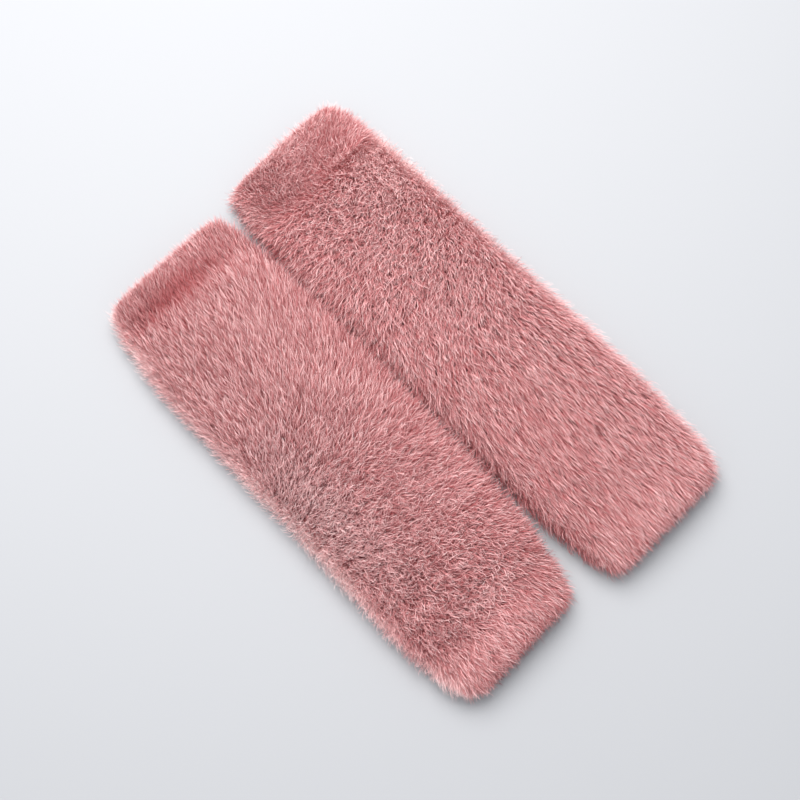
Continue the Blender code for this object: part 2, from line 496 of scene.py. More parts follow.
def lofted(name, rings, closed):
    """A mesh through rings of points; closed joins the last ring to the first."""
    count = len(rings)
    points = [point for ring in rings for point in ring]
    faces = []
    for i in range(count if closed else count - 1):
        low, high = i * POINTS_ROUND, (i + 1) % count * POINTS_ROUND
        for k in range(POINTS_ROUND):
            n = (k + 1) % POINTS_ROUND
            faces.append((low + k, low + n, high + n, high + k))
    mesh = bpy.data.meshes.new(name)
    mesh.from_pydata(points, [], faces)
    mesh.validate()
    mesh.shade_smooth()
    return mesh


def linked(name, mesh):
    obj = bpy.data.objects.new(name, mesh)
    bpy.context.scene.collection.objects.link(obj)
    return obj


def knit_stretch(side, stretch, place, sizes, material):
    """One stretch of the knitted tube: a closed thin wall with a UV map in wales and courses."""
    start, stop, hem = stretches(place, sizes)[stretch]
    stations = wall_stations(start, stop, hem)
    rings = []
    for along, depth in stations:
        ring = wall_ring(place, sizes, along, depth)
        rings.append([placed(place, along, across, up) for across, up in ring])
    obj = linked(f"{side}_{stretch}_knit", lofted(f"{side}_{stretch}_knit", rings, closed=True))
    uv = obj.data.uv_layers.new(name="knit")
    longest = length_of(place)
    for polygon in obj.data.polygons:
        columns = [vertex % POINTS_ROUND for vertex in polygon.vertices]
        wraps = max(columns) - min(columns) > 1
        for loop, vertex, column in zip(polygon.loop_indices, polygon.vertices, columns):
            turn = POINTS_ROUND if wraps and column == 0 else column
            uv.data[loop].uv = (turn / POINTS_ROUND, stations[vertex // POINTS_ROUND][0] / longest)
    obj.data.materials.append(material)
    return obj


def comb_at(place, along, across):
    """Where the tips point, as an angle, and how far locks and single strands turn from it."""
    at = along / MM
    row = {name: smooth_between(place["comb"], at, k) for k, name in enumerate(COMB_COLUMNS)}
    share = min(abs(across) / COMB_REACH, 1.0) ** COMB_POWER
    heading = cmath.rect(1 - share, row["middle"] * DEGREE)
    heading += cmath.rect(share, row["right" if across > 0 else "left"] * DEGREE)
    locks, strays = (max(min(row[name], 1.0), 0.0) for name in ("locks", "strays"))
    return cmath.phase(heading), locks, strays


def skin_stations(place, start, stop, hem):
    """For each ring that fur grows on: its place along, its depth in the wall, and the place
    along that the fur's tips reach, which runs ahead of it to the end of the fur at a hem."""
    length = length_of(place)
    stations = []
    for along in even_steps(start, stop, SKIN_STEP):
        to_hem = {"low": along - start, "high": stop - along, None: FLARE_LENGTH}[hem]
        flare = max(1 - to_hem / FLARE_LENGTH, 0.0) ** 2
        inset = start if hem == "low" else length - stop
        ahead = {"low": -1.0, "high": 1.0, None: 0.0}[hem] * inset * flare
        stations.append((along, 0.0, along + ahead))
    turns = [hem_turn(k / HEM_TURN_RINGS) for k in range(1, HEM_TURN_RINGS // 2 + 1)]
    if hem == "low":
        stations = [(start - out, depth, 0.0) for out, depth in reversed(turns)] + stations
    if hem == "high":
        stations += [(stop + out, depth, length) for out, depth in turns]
    return stations


def painted_gap_shade(turn, to_edge):
    """How much painted shade, for the shadow in the gap, the side that faces the other leg warmer
    gets.
    """
    depth = min(max(GAP_TOP - math.sin(turn), 0.0) / GAP_TOP, 1.0)
    return GAP_PAINTED_SHADE * depth * abs(math.cos(turn)) * min(to_edge / GAP_END, 1.0)


def room_ahead(room, heading):
    """How far a strand can lie, with this room and this share of its way towards the edge."""
    return room / max(heading, LEAST_HEADING)


def fur_skin(name, stretch, place, sizes, fur):
    """The outer side of a stretch of knit, with what its fur needs to know at each point."""
    start, stop, hem = stretches(place, sizes)[stretch]
    length = length_of(place)
    roots, tips, lies, facts = [], [], [], []
    for along, depth, reached in skin_stations(place, start, stop, hem):
        wall = wall_ring(place, sizes, along, depth)
        inner = wall_ring(place, sizes, along, 1.0)
        outer = fur_ring(place, min(max(reached, 0.0), length))
        crown = max(up for _, up in outer)
        end, way = ("low", 1.0) if reached < length / 2 else ("high", -1.0)
        side_reach = {1.0: outer[0][0], -1.0: -outer[POINTS_ROUND // 2][0]}
        to_edge = min(reached, length - reached)
        near_end = max(1 - to_edge / FLARE_LENGTH, 0.0)
        off_end = min(to_edge / FLARE_LENGTH, 1.0)
        near_corner = max(1 - to_edge / CORNER_DRAW_LENGTH, 0.0)
        draw_in = CORNER_DRAW[end] * near_corner**CORNER_DRAW_POWER
        inner_reach = smooth_between(place["inner_reach"], along / MM, 1) * MM
        points = zip(angles_round(), wall, inner, outer)
        for turn, (across, up), (across_in, up_in), (across_out, up_out) in points:
            sideness = max(abs(math.cos(turn)) - SIDE_FROM, 0.0) / (1 - SIDE_FROM)
            outward = math.copysign(1.0, math.cos(turn))
            if math.sin(turn) < 0:
                spread = FLOOR_SPREAD * min(FLOOR_SPREAD_RISE * sideness, 1.0)
                across_out *= abs(math.cos(turn)) ** -spread
            side_room = side_reach[outward] - abs(across_out) + SIDE_OVERREACH * off_end
            faces_other = outward == place["inner"]
            across_out -= math.cos(turn) * draw_in * (INNER_CORNER if faces_other else 1.0)
            if faces_other:
                across_out += outward * inner_reach * sideness
            across_out += (across_in - across_out) * depth
            up_out += (up_in - up_out) * depth
            drawn = END_DRAW[end] * near_end * up_out / crown
            roots.append(placed(place, along, across, up))
            tips.append(placed(place, reached + way * drawn, across_out, up_out))
            angle, locks, strays = comb_at(place, along, across)
            # The place's painted light and shade: the patches, then painted shade by the gap and
            # painted light on the outer sides.
            tone = patches(place["painted_light_patches"], PAINTED_LIGHT_COLUMNS, along, across)
            tone += -painted_gap_shade(turn, to_edge) if faces_other else SIDE_PAINTED_LIGHT * sideness
            end_room = room_ahead(to_edge + drawn + OVERREACH[end], math.cos(angle) * way)
            side_room = room_ahead(side_room, math.sin(angle) * outward * math.sin(turn))
            longest = fur.lay * (1 - LOCK_SHORTER * locks - STRAY_SHORTER * strays)
            longest *= 1 - SIDE_SHORTER * sideness
            reach = min(longest, end_room, side_room)
            droop = END_DROOP * near_end if end == "low" else 0.0
            lies.append((angle, reach, outward * SIDE_HANG * sideness, droop))
            facts.append((locks, strays, tone, max(sideness, near_end), math.sin(turn)))
    grid = np.array(roots).reshape(-1, POINTS_ROUND, 3)
    mesh = lofted(name, grid.tolist(), closed=False)
    rise = np.array(tips) - np.array(roots)
    angle, reach, hang, droop = np.array(lies).T[:, :, None]
    locks, strays, tone, soft, over = np.array(facts).T
    lengthwise = unit(np.gradient(grid, axis=0)).reshape(-1, 3)
    round_it = unit(np.roll(grid, 1, axis=1) - np.roll(grid, -1, axis=1)).reshape(-1, 3)
    round_it *= over[:, None] > 0
    lie = round_it * (np.sin(angle) + hang) - lengthwise * np.cos(angle)
    lie = unit(lie - np.array((0.0, 0.0, 1.0)) * droop)
    lay = np.maximum(reach, SHORTEST_LAY) * lie
    below = np.clip(-unit(rise)[:, 2] / UNDERSIDE_FROM, 0.0, 1.0) ** 2
    cover = (1 - (1 - UNDERSIDE_COVER) * below) * (1 + EDGE_COVER * soft)
    columns = (rise, lay, locks, strays, tone, soft, cover)
    for (label, kind), values in zip(SKIN_FACTS.items(), columns):
        attribute = mesh.attributes.new(label, kind, "POINT")
        field = "vector" if kind == "FLOAT_VECTOR" else "value"
        attribute.data.foreach_set(field, np.ascontiguousarray(values, np.float32).ravel())
    return linked(name, mesh), cover


def unit(vectors):
    return vectors / np.maximum(np.linalg.norm(vectors, axis=-1, keepdims=True), LEAST_LENGTH)


def covered_area(skin, cover):
    """The skin's area, each face counted by its share of full cover."""
    faces = skin.data.polygons
    return sum(f.area * sum(cover[v] for v in f.vertices) / len(f.vertices) for f in faces)


# Node trees.


def operators_for(operation):
    """The pair of operators that add a math node, for a wire before or after the other term."""

    def before(wire, other):
        return wire.bench.math(operation, wire, other)

    def after(wire, other):
        return wire.bench.math(operation, other, wire)

    return before, after


class Wire:
    """An output of a node, for use in sums that add nodes to its tree."""

    def __init__(self, bench, socket):
        self.bench = bench
        self.socket = socket
        self.is_vector = socket.type in {"VECTOR", "RGBA"}

    __add__, __radd__ = operators_for("ADD")
    __sub__, __rsub__ = operators_for("SUBTRACT")
    __mul__, __rmul__ = operators_for("MULTIPLY")
    __truediv__, __rtruediv__ = operators_for("DIVIDE")
    __pow__, __rpow__ = operators_for("POWER")


NOISE_DETAIL = 1.0
NOISE_STRETCH = 3.0


class Bench:
    """One node tree being built."""

    def __init__(self, tree):
        self.tree = tree

    def add(self, kind, settings=None, values=None, out=0):
        """Adds a node; out names the output to return, or several of them."""
        node = self.tree.nodes.new(kind)
        for name, value in (settings or {}).items():
            if name == "captures":
                for label, form in value:
                    node.capture_items.new(form, label)
            else:
                setattr(node, name, value)
        for key, value in (values or {}).items():
            socket = self.pick(node.inputs, key)
            if isinstance(value, Wire):
                self.tree.links.new(value.socket, socket)
            else:
                socket.default_value = value
        if out is None:
            return node
        if isinstance(out, (list, tuple)):
            return [Wire(self, self.pick(node.outputs, key)) for key in out]
        return Wire(self, self.pick(node.outputs, out))

    @staticmethod
    def pick(sockets, key):
        """A socket by its name or its number, among those that the node's settings leave on."""
        shown = [socket for socket in sockets if socket.enabled]
        return shown[key] if isinstance(key, int) else next(s for s in shown if s.name == key)

    def math(self, operation, *terms):
        vectors = [isinstance(t, tuple) or isinstance(t, Wire) and t.is_vector for t in terms]
        if not any(vectors):
            values = dict(enumerate(terms))
            return self.add("ShaderNodeMath", {"operation": operation}, values)
        if all(vectors):
            values = dict(enumerate(terms))
            return self.add("ShaderNodeVectorMath", {"operation": operation}, values)
        vector, number = terms if vectors[0] else terms[::-1]
        values = {"Vector": vector, "Scale": number}
        return self.add("ShaderNodeVectorMath", {"operation": "SCALE"}, values)

    def attribute(self, name, form="FLOAT"):
        return self.add("GeometryNodeInputNamedAttribute", {"data_type": form}, {"Name": name})

    def noise(self, vector, size):
        """A smooth noise of about -1 to 1 with features of this size."""
        values = {"Vector": vector, "Scale": 1 / size, "Detail": NOISE_DETAIL}
        return (self.add("ShaderNodeTexNoise", {}, values) - 0.5) * NOISE_STRETCH

    def chance(self, low, high, seed):
        """A random number for each point."""
        values = {"Min": low, "Max": high, "Seed": seed}
        return self.add("FunctionNodeRandomValue", {"data_type": "FLOAT"}, values)

    def share(self, value, start, stop):
        """How far a value is on its way from start to stop."""
        values = {"Value": value, "From Min": start, "From Max": stop}
        return self.add("ShaderNodeMapRange", {}, values)

    def mixed(self, share, low, high):
        """The colour at this share of the way from low to high."""
        values = {"Factor": share, "A": low, "B": high}
        return self.add("ShaderNodeMix", {"data_type": "RGBA"}, values, "Result")

    def surface(self, values):
        """Ends a material's tree in a shader with these inputs."""
        shader = self.add("ShaderNodeBsdfPrincipled", {}, values)
        self.add("ShaderNodeOutputMaterial", {}, {"Surface": shader}, out=None)


# Each kind of strand: its outline, and the least and greatest of its height, lay and own tone.
HEIGHTS, LAYS = ("Least Height", "Greatest Height"), ("Least Lay", "Greatest Lay")
STRAND_MEASURES = (*HEIGHTS, *LAYS, "Darkest", "Lightest")
# The underfur's own tones run darker than the long hairs', as painted shade deep in the pile.
STRAND_KINDS = {
    "underfur": (SHORT_STRAND, (0.5, 0.95, 0.5, 1.0, 0.0, 0.75)),
    "long_hairs": (LONG_STRAND, (0.75, 1.18, 0.75, 1.3, 0.1, 1.0)),
}

FUR_INPUTS = {
    "Geometry": "Geometry",
    "Strand": "Object",
    "Strands in a Square Metre": "Float",
    "Seed": "Int",
    "Width": "Float",
    **{label: "Float" for label in STRAND_MEASURES},
    "Tuft Size": "Float",
    "Tuft Pull": "Float",
    "Material": "Material",
}

# A strand turns from the comb in long waves, with its lock and on its own. Each adds a little
# everywhere and more where locks, strays or the soft edges are full.
WAVE_SIZE = 26.0 * MM
WAVE_SWAY = 10.0 * DEGREE
LOCK_SIZE = 7.0 * MM
LOCK_SWAY = 7.0 * DEGREE
LOCK_TOUSLE = 65.0 * DEGREE
STRAY_SWAY = 7.0 * DEGREE
STRAY_TOUSLE = 85.0 * DEGREE
STRAY_SOFT = 50.0 * DEGREE

# A strand's shape: it rises first and lies over after, and its tip curls to one side. Most
# strands are near the least height and lay, and a few reach far, more so at the soft edges.
RISE_POWER = 3.6
LAY_POWER = 1.25
CURL = 0.65
CURL_LEAST = 0.3
HEIGHT_SPREAD = 1.3
LAY_SPREAD = 1.6
SOFT_SPREAD = 1.5
SOFT_REACH = 0.6
SWELL_SIZE = 11.0 * MM
SWELL = 0.07
FLOOR_CLEARANCE = 0.25 * MM

# Tips are drawn together in tufts, less where the fur is calm and at the soft edges.
TUFT_PULL = 0.7
CALM_PULL = 0.35
SOFT_PULL = 0.8

# A strand's width varies between these shares, and its flat side turns partly to the sky.
FINEST = 0.6
BROADEST = 1.2
SOFT_WIDTH = 0.5
TWIST = 60.0 * DEGREE
SKYWARD = (0.0, 0.0, 1.6)


def strand_facts(bench, given, rise, lay, locks, strays, tone, soft):
    """What each strand is given at its root, as label, kind and value."""
    root = bench.add("GeometryNodeInputPosition")
    seeds = [given["Seed"] + k for k in range(1, 9)]
    up = bench.math("NORMALIZE", rise)

    turn = bench.noise(root, WAVE_SIZE) * WAVE_SWAY
    turn = turn + bench.noise(root, LOCK_SIZE) * (locks * LOCK_TOUSLE + LOCK_SWAY)
    stray = strays * STRAY_TOUSLE + soft * STRAY_SOFT + STRAY_SWAY
    turn = turn + bench.chance(-1.0, 1.0, seeds[0]) * stray
    sideways = bench.math("CROSS_PRODUCT", up, lay)
    lay_turned = lay * bench.math("COSINE", turn) + sideways * bench.math("SINE", turn)
    sideways = bench.math("CROSS_PRODUCT", up, lay_turned)
    spread = (given["Greatest Lay"] - given["Least Lay"]) * (soft * SOFT_REACH + 1.0)
    power = soft * SOFT_SPREAD + LAY_SPREAD
    length = given["Least Lay"] + spread * bench.chance(0.0, 1.0, seeds[1]) ** power
    curl = sideways * (bench.chance(-CURL, CURL, seeds[2]) * length * (strays + CURL_LEAST))
    spread = (given["Greatest Height"] - given["Least Height"]) * (soft * SOFT_REACH + 1.0)
    power = soft * SOFT_SPREAD + HEIGHT_SPREAD
    height = given["Least Height"] + spread * bench.chance(0.0, 1.0, seeds[3]) ** power
    height = height * (bench.noise(root, SWELL_SIZE) * SWELL + 1.0)

    values = {"Vector": root, "Scale": 1.0 / given["Tuft Size"]}
    middle = bench.add("ShaderNodeTexVoronoi", {}, values, "Position")
    share = (1.0 - soft * SOFT_PULL) * (locks * (1 - CALM_PULL) + CALM_PULL)
    pull = (middle - root) * (given["Tuft Pull"] * share)
    pull = pull - up * bench.math("DOT_PRODUCT", pull, up)

    twist = bench.chance(-TWIST, TWIST, seeds[4])
    facing = bench.math("NORMALIZE", up + SKYWARD)
    across = bench.math("NORMALIZE", bench.math("CROSS_PRODUCT", facing, lay_turned))
    across = across * bench.math("COSINE", twist) + facing * bench.math("SINE", twist)
    width = given["Width"] * bench.chance(FINEST, BROADEST, seeds[7]) * (1.0 - soft * SOFT_WIDTH)

    own = bench.chance(given["Darkest"], given["Lightest"], seeds[5])
    column = bench.math("FLOOR", own * (TONE_COLUMNS_ON_MAP - JUST_UNDER))
    # The row holds the place's level of painted light and shade.
    level = bench.math("MINIMUM", bench.math("MAXIMUM", tone + UNPAINTED_LEVEL, 0.0), 1.0)
    either_row = bench.chance(0.0, 1.0 - JUST_UNDER, seeds[6])
    row = bench.math("FLOOR", level * (PAINTED_LIGHT_ROWS_ON_MAP - 1) + either_row)
    return (
        ("Root", "VECTOR", root),
        ("Rise", "VECTOR", rise * height),
        ("Lay", "VECTOR", lay_turned * length),
        ("Curl", "VECTOR", curl),
        ("Pull", "VECTOR", pull),
        ("Across", "VECTOR", across * width),
        ("Column", "FLOAT", column),
        ("Row", "FLOAT", row),
    )


def fur_tree():
    """Grows one kind of strand on a skin that carries the skin's facts."""
    tree = bpy.data.node_groups.new("fur", "GeometryNodeTree")
    for label, kind in FUR_INPUTS.items():
        tree.interface.new_socket(label, in_out="INPUT", socket_type="NodeSocket" + kind)
    tree.interface.new_socket("Geometry", in_out="OUTPUT", socket_type="NodeSocketGeometry")
    bench = Bench(tree)
    given = dict(zip(FUR_INPUTS, bench.add("NodeGroupInput", out=list(FUR_INPUTS))))

    facts = {label: bench.attribute(label, kind) for label, kind in SKIN_FACTS.items()}
    density = facts.pop("cover") * given["Strands in a Square Metre"]
    values = {"Mesh": given["Geometry"], "Density": density, "Seed": given["Seed"]}
    points = bench.add("GeometryNodeDistributePointsOnFaces", {}, values, "Points")

    kept = strand_facts(bench, given, **facts)
    settings = {"captures": [(label, form) for label, form, _ in kept], "domain": "POINT"}
    values = {"Geometry": points, **{label: value for label, _, value in kept}}
    names = ["Geometry"] + [label for label, _, _ in kept]
    captured = dict(zip(names, bench.add("GeometryNodeCaptureAttribute", settings, values, names)))

    strand = bench.add("GeometryNodeObjectInfo", {}, {"Object": given["Strand"]}, "Geometry")
    values = {"Points": captured["Geometry"], "Instance": strand}
    strands = bench.add("GeometryNodeInstanceOnPoints", {}, values)
    mesh = bench.add("GeometryNodeRealizeInstances", {}, {"Geometry": strands})

    local = bench.add("GeometryNodeInputPosition") - captured["Root"]
    along, aside = bench.add("ShaderNodeSeparateXYZ", {}, {0: local}, ["X", "Y"])
    shape = captured["Root"] + captured["Rise"] * (1.0 - (1.0 - along) ** RISE_POWER)
    shape = shape + captured["Lay"] * along**LAY_POWER
    shape = shape + (captured["Pull"] + captured["Curl"]) * (along * along)
    shape = shape + captured["Across"] * aside
    x, y, z = bench.add("ShaderNodeSeparateXYZ", {}, {0: shape}, ["X", "Y", "Z"])
    z = bench.math("MAXIMUM", z, FLOOR_CLEARANCE)
    shape = bench.add("ShaderNodeCombineXYZ", {}, {"X": x, "Y": y, "Z": z})

    # Places on the strand are read from its points, so the map is stored before they move.
    u = (captured["Column"] + aside * ISLAND_WIDTH + 0.5) / TONE_COLUMNS_ON_MAP
    v = (captured["Row"] + along * (1 - 2 * ROW_MARGIN) + ROW_MARGIN) / PAINTED_LIGHT_ROWS_ON_MAP
    island = bench.add("ShaderNodeCombineXYZ", {}, {"X": u, "Y": v})
    settings = {"data_type": "FLOAT2", "domain": "CORNER"}
    values = {"Geometry": mesh, "Name": "OFBake", "Value": island}
    mesh = bench.add("GeometryNodeStoreNamedAttribute", settings, values)
    mesh = bench.add("GeometryNodeSetPosition", {}, {"Geometry": mesh, "Position": shape})
    mesh = bench.add("GeometryNodeSetMaterial", {}, {"Geometry": mesh, "Material": given["Material"]})
    bench.add("NodeGroupOutput", {}, {"Geometry": mesh}, out=None)
    return tree


def strand_object(name, outline):
    """A flat tapered strand: X runs from 0 at the root to 1 at the tip, Y across its width."""
    points, faces = [], []
    for at, width in outline[:-1]:
        points += [(at, -width / 2, 0.0), (at, width / 2, 0.0)]
    points.append((outline[-1][0], 0.0, 0.0))
    for k in range(len(outline) - 2):
        faces.append((2 * k, 2 * k + 2, 2 * k + 3, 2 * k + 1))
    last = 2 * (len(outline) - 2)
    faces.append((last, last + 2, last + 1))
    mesh = bpy.data.meshes.new(name)
    mesh.from_pydata(points, [], faces)
    mesh.shade_smooth()
    return linked(name, mesh)


def grown(name, skin, tree, inputs):
    """Grows fur on a skin and returns it as a plain mesh object of its own."""
    modifier = skin.modifiers.new("fur", "NODES")
    modifier.node_group = tree
    for item in tree.interface.items_tree:
        if item.in_out == "INPUT" and item.name in inputs:
            modifier[item.identifier] = inputs[item.name]
    skin.update_tag()
    evaluated = skin.evaluated_get(bpy.context.evaluated_depsgraph_get())
    mesh = bpy.data.meshes.new_from_object(evaluated)
    skin.modifiers.remove(modifier)
    for label in SKIN_FACTS:
        if label in mesh.attributes:
            mesh.attributes.remove(mesh.attributes[label])
    if not mesh.polygons:
        raise RuntimeError(f"no fur grew on {name}")
    mesh.name = name
    return linked(name, mesh)


def empty_material(name):
    """A new material, and a bench for its empty tree."""
    material = bpy.data.materials.new(name)
    material.use_nodes = True
    material.node_tree.nodes.clear()
    return material, Bench(material.node_tree)


# Along a strand the root's colour ends and the tip's starts at these shares. Where its place has
# painted light, the darkest strands are lifted and then the tips turn pale, as light through them.
# Where it has painted shade, a strand deepens to the root's colour.
ROOT_ENDS_AT = 0.55
TIP_STARTS_AT = 0.5
PAINTED_LIGHT_LIFT = 2.5
PALE_POWER = 3.0
PALE_RISE = 1.5
PLACE_PAINTED_SHADE = 1.5
FUR_ROUGHNESS = 0.6


def fur_material(colours):
    """Dusty pink strands, deep at the root and pale at the tip, each with a tone of its own. The
    gradient is partly the fur's own colour, partly painted shade in the pile and painted light on the
    tips.
    """
    material, bench = empty_material("pink_fur")
    root, tip = (*colours.root, 1.0), (*colours.tip, 1.0)
    place = bench.add("ShaderNodeUVMap", {"uv_map": "OFBake"})
    u, v = bench.add("ShaderNodeSeparateXYZ", {}, {0: place}, ["X", "Y"])
    rows = v * PAINTED_LIGHT_ROWS_ON_MAP
    along = bench.math("FRACT", rows)
    level = bench.math("FLOOR", rows) / (PAINTED_LIGHT_ROWS_ON_MAP - 1)
    colour = bench.mixed(bench.share(along, 0.0, ROOT_ENDS_AT), root, (*colours.middle, 1.0))
    colour = bench.mixed(bench.share(along, TIP_STARTS_AT, 1.0), colour, tip)
    # Painted light lifts the darkest strands.
    own = bench.math("MAXIMUM", u, (level - UNPAINTED_LEVEL) * PAINTED_LIGHT_LIFT)
    colour = bench.mixed(own, root, colour)
    # Painted shade deepens a strand towards the root's colour.
    colour = bench.mixed((UNPAINTED_LEVEL - level) * PLACE_PAINTED_SHADE, colour, root)
    # Painted light through the tips turns them pale.
    painted_glow = bench.share(level, UNPAINTED_LEVEL, 1.0) ** PALE_POWER
    painted_glow = painted_glow * bench.math("MINIMUM", along * PALE_RISE, 1.0)
    colour = bench.mixed(painted_glow, colour, (*colours.painted_glow, 1.0))
    bench.surface({"Base Color": colour, "Roughness": FUR_ROUGHNESS, "Specular IOR Level": 0.0})
    return material


# How a stitch slopes from its wale's middle to the sides, how far it rises and falls, and how
# deep and how strong it shows.
STITCH_SLOPE = 1.2
STITCH_SWING = 0.25
STITCH_DEPTH = 0.4 * MM
STITCH_RELIEF = 0.6
KNIT_ROUGHNESS = 0.9
KNIT_GLOSS = 0.2


def knit_material(colours):
    """Fine plain knit: wales round the tube and courses along it, from the piece's own map."""
    material, bench = empty_material("pink_knit")
    place = bench.add("ShaderNodeUVMap", {"uv_map": "knit"})
    u, v = bench.add("ShaderNodeSeparateXYZ", {}, {0: place}, ["X", "Y"])
    courses = round(length_of(PLACES["right"]) / COURSE)
    from_middle = bench.math("ABSOLUTE", bench.math("FRACT", u * WALES_ROUND) - 0.5)
    course = v * courses + from_middle * STITCH_SLOPE
    stitch = bench.math("SINE", course * math.tau) * STITCH_SWING + 0.5
    height = stitch * (1.0 - (from_middle * 2.0) ** 2.0)
    # The hollows between stitches take the root's dark colour, as painted shade.
    colour = bench.mixed(height, (*colours.root, 1.0), (*colours.knit, 1.0))
    values = {"Height": height, "Strength": STITCH_RELIEF, "Distance": STITCH_DEPTH}
    normal = bench.add("ShaderNodeBump", {}, values)
    finish = {"Roughness": KNIT_ROUGHNESS, "Specular IOR Level": KNIT_GLOSS, "Normal": normal}
    bench.surface({"Base Color": colour, **finish})
    return material


def plain_material(name, colour, roughness):
    material = bpy.data.materials.new(name)
    material.use_nodes = True
    shader = material.node_tree.nodes["Principled BSDF"]
    shader.inputs["Base Color"].default_value = (*colour, 1.0)
    shader.inputs["Roughness"].default_value = roughness
    return material


# What a user may change.


def length_property(name, description, default):
    return FloatProperty(
        name=name, description=description, default=default, unit="LENGTH", precision=4
    )


def colour_property(name, description, default):
    return FloatVectorProperty(
        name=name, description=description, default=default, subtype="COLOR", min=0.0, max=1.0
    )


def count_property(name, description, default):
    return IntProperty(name=name, description=description, default=default, min=0)


class LegWarmerSizes(bpy.types.PropertyGroup):
    """Sizes of the knitted tubes."""

    knit: length_property("Knit", "Thickness of the knitted wall", 2.0 * MM)
    hollow: length_property("Hollow", "Height of the flat hollow between the layers", 5.6 * MM)
    pile_under: length_property("Pile under", "Depth of the fur pressed on the floor", 6.0 * MM)
    pile_side: length_property("Pile at the sides", "Depth of the fur at the sides", 10.0 * MM)
    hem_inset: length_property("Hem inset", "How far the fur runs on past the hem", 7.5 * MM)


class LegWarmerFur(bpy.types.PropertyGroup):
    """Sizes and counts of the fur's strands."""

    lay: length_property("Lay", "How far a strand is combed over along the cloth", 13.0 * MM)
    width: length_property("Strand width", "Width of a short strand", 0.48 * MM)
    long_width: length_property("Long hair width", "Width of a long hair", 0.43 * MM)
    tuft: length_property("Tuft size", "Distance between tufts", 2.6 * MM)
    short_on_leg: count_property("Short strands on a leg", "Underfur on each leg", 62000)
    long_on_leg: count_property("Long hairs on a leg", "Long hairs on each leg", 37500)
    on_cuff: count_property("Strands on a cuff", "Underfur on each cuff", 7200)
    seed: count_property("Seed", "Seed of every random choice", 11)


class LegWarmerColours(bpy.types.PropertyGroup):
    """Colours of the cloth and the floor."""

    # The root's deep colour is partly the fur's own and partly painted shade in the pile; the tip's
    # paleness is partly painted light.
    root: colour_property("Root", "The fur at its roots", (0.39, 0.075, 0.08))
    middle: colour_property("Middle", "The fur half way up", (0.98, 0.535, 0.535))
    tip: colour_property("Tip", "The fur at its tips", (0.99, 0.82, 0.81))
    # The pale colour is painted light through the tips at the edges.
    painted_glow: colour_property("Pale", "Tips at the edges, where light comes through", (1.0, 0.79, 0.77))
    # The knit is painted as dark as the shaded roots under the fur: painted shade.
    knit: colour_property("Knit", "The plain knit inside", (0.52, 0.22, 0.22))
    floor: colour_property("Floor", "The studio's floor", (0.43, 0.437, 0.456))


class LegWarmerStage(bpy.types.PropertyGroup):
    """The studio's camera and light."""

    azimuth: FloatProperty(
        name="Azimuth", description="Way round to it", default=-43.533 * DEGREE, subtype="ANGLE"
    )
    elevation: FloatProperty(
        name="Elevation", description="The camera's height", default=74.0 * DEGREE, subtype="ANGLE"
    )
    distance: length_property("Distance", "From the camera to what it looks at", 1000.3 * MM)
    lens: FloatProperty(name="Lens", description="Focal length", default=60.0, unit="CAMERA")
    key: FloatProperty(
        name="Key light", description="Power of the soft light", default=37.0, unit="POWER"
    )
    sky: FloatProperty(name="Room light", description="Strength of the light all round", default=0.66)


class LegWarmerSettings(bpy.types.PropertyGroup):
    """Everything that a user may change."""

    sizes: PointerProperty(type=LegWarmerSizes)
    fur: PointerProperty(type=LegWarmerFur)
    colours: PointerProperty(type=LegWarmerColours)
    stage: PointerProperty(type=LegWarmerStage)


# The stage.

CAMERA_TARGET = (-6.1 * MM, -6.2 * MM, 0.0)
SENSOR = 36.0
FLOOR_SIZE = 6.0
FLOOR_ROUGHNESS = 0.75
KEY_PLACE = (0.28, 0.62, 1.3)
KEY_SIZE = 1.5
KEY_COLOUR = (1.0, 0.985, 0.97)
SKY_COLOUR = (0.93, 0.96, 1.0)


def aimed(obj, place, back):
    """Puts a camera or a light at its place, looking the way that back looks away from."""
    obj.location = place
    obj.rotation_mode = "QUATERNION"
    obj.rotation_quaternion = (-back).to_track_quat("-Z", "Y")
    bpy.context.scene.collection.objects.link(obj)


class LEGWARMERS_OT_stage(bpy.types.Operator):
    """Add the pale floor, the soft light and the camera"""

    bl_idname = "legwarmers.stage"
    bl_label = "Add Studio"

    def execute(self, context):
        settings = context.scene.leg_warmers
        stage = settings.stage
        bpy.ops.mesh.primitive_plane_add(size=FLOOR_SIZE)
        floor = context.active_object
        floor.name = "floor"
        material = plain_material("pale_floor", settings.colours.floor, FLOOR_ROUGHNESS)
        floor.data.materials.append(material)

        cos_up, sin_up = math.cos(stage.elevation), math.sin(stage.elevation)
        back = Vector((math.sin(stage.azimuth) * cos_up, -math.cos(stage.azimuth) * cos_up, sin_up))
        camera = bpy.data.objects.new("camera", bpy.data.cameras.new("camera"))
        camera.data.lens = stage.lens
        camera.data.sensor_width = SENSOR
        aimed(camera, Vector(CAMERA_TARGET) + back * stage.distance, back)
        context.scene.camera = camera

        light = bpy.data.objects.new("soft_light", bpy.data.lights.new("soft_light", "AREA"))
        light.data.shape = "DISK"
        light.data.size = KEY_SIZE
        light.data.energy = stage.key
        light.data.color = KEY_COLOUR
        aimed(light, KEY_PLACE, Vector(KEY_PLACE))

        world = bpy.data.worlds.new("room")
        world.use_nodes = True
        room = world.node_tree.nodes["Background"]
        room.inputs["Color"].default_value = (*SKY_COLOUR, 1.0)
        room.inputs["Strength"].default_value = stage.sky
        context.scene.world = world
        context.scene.view_settings.view_transform = "Standard"
        return {"FINISHED"}


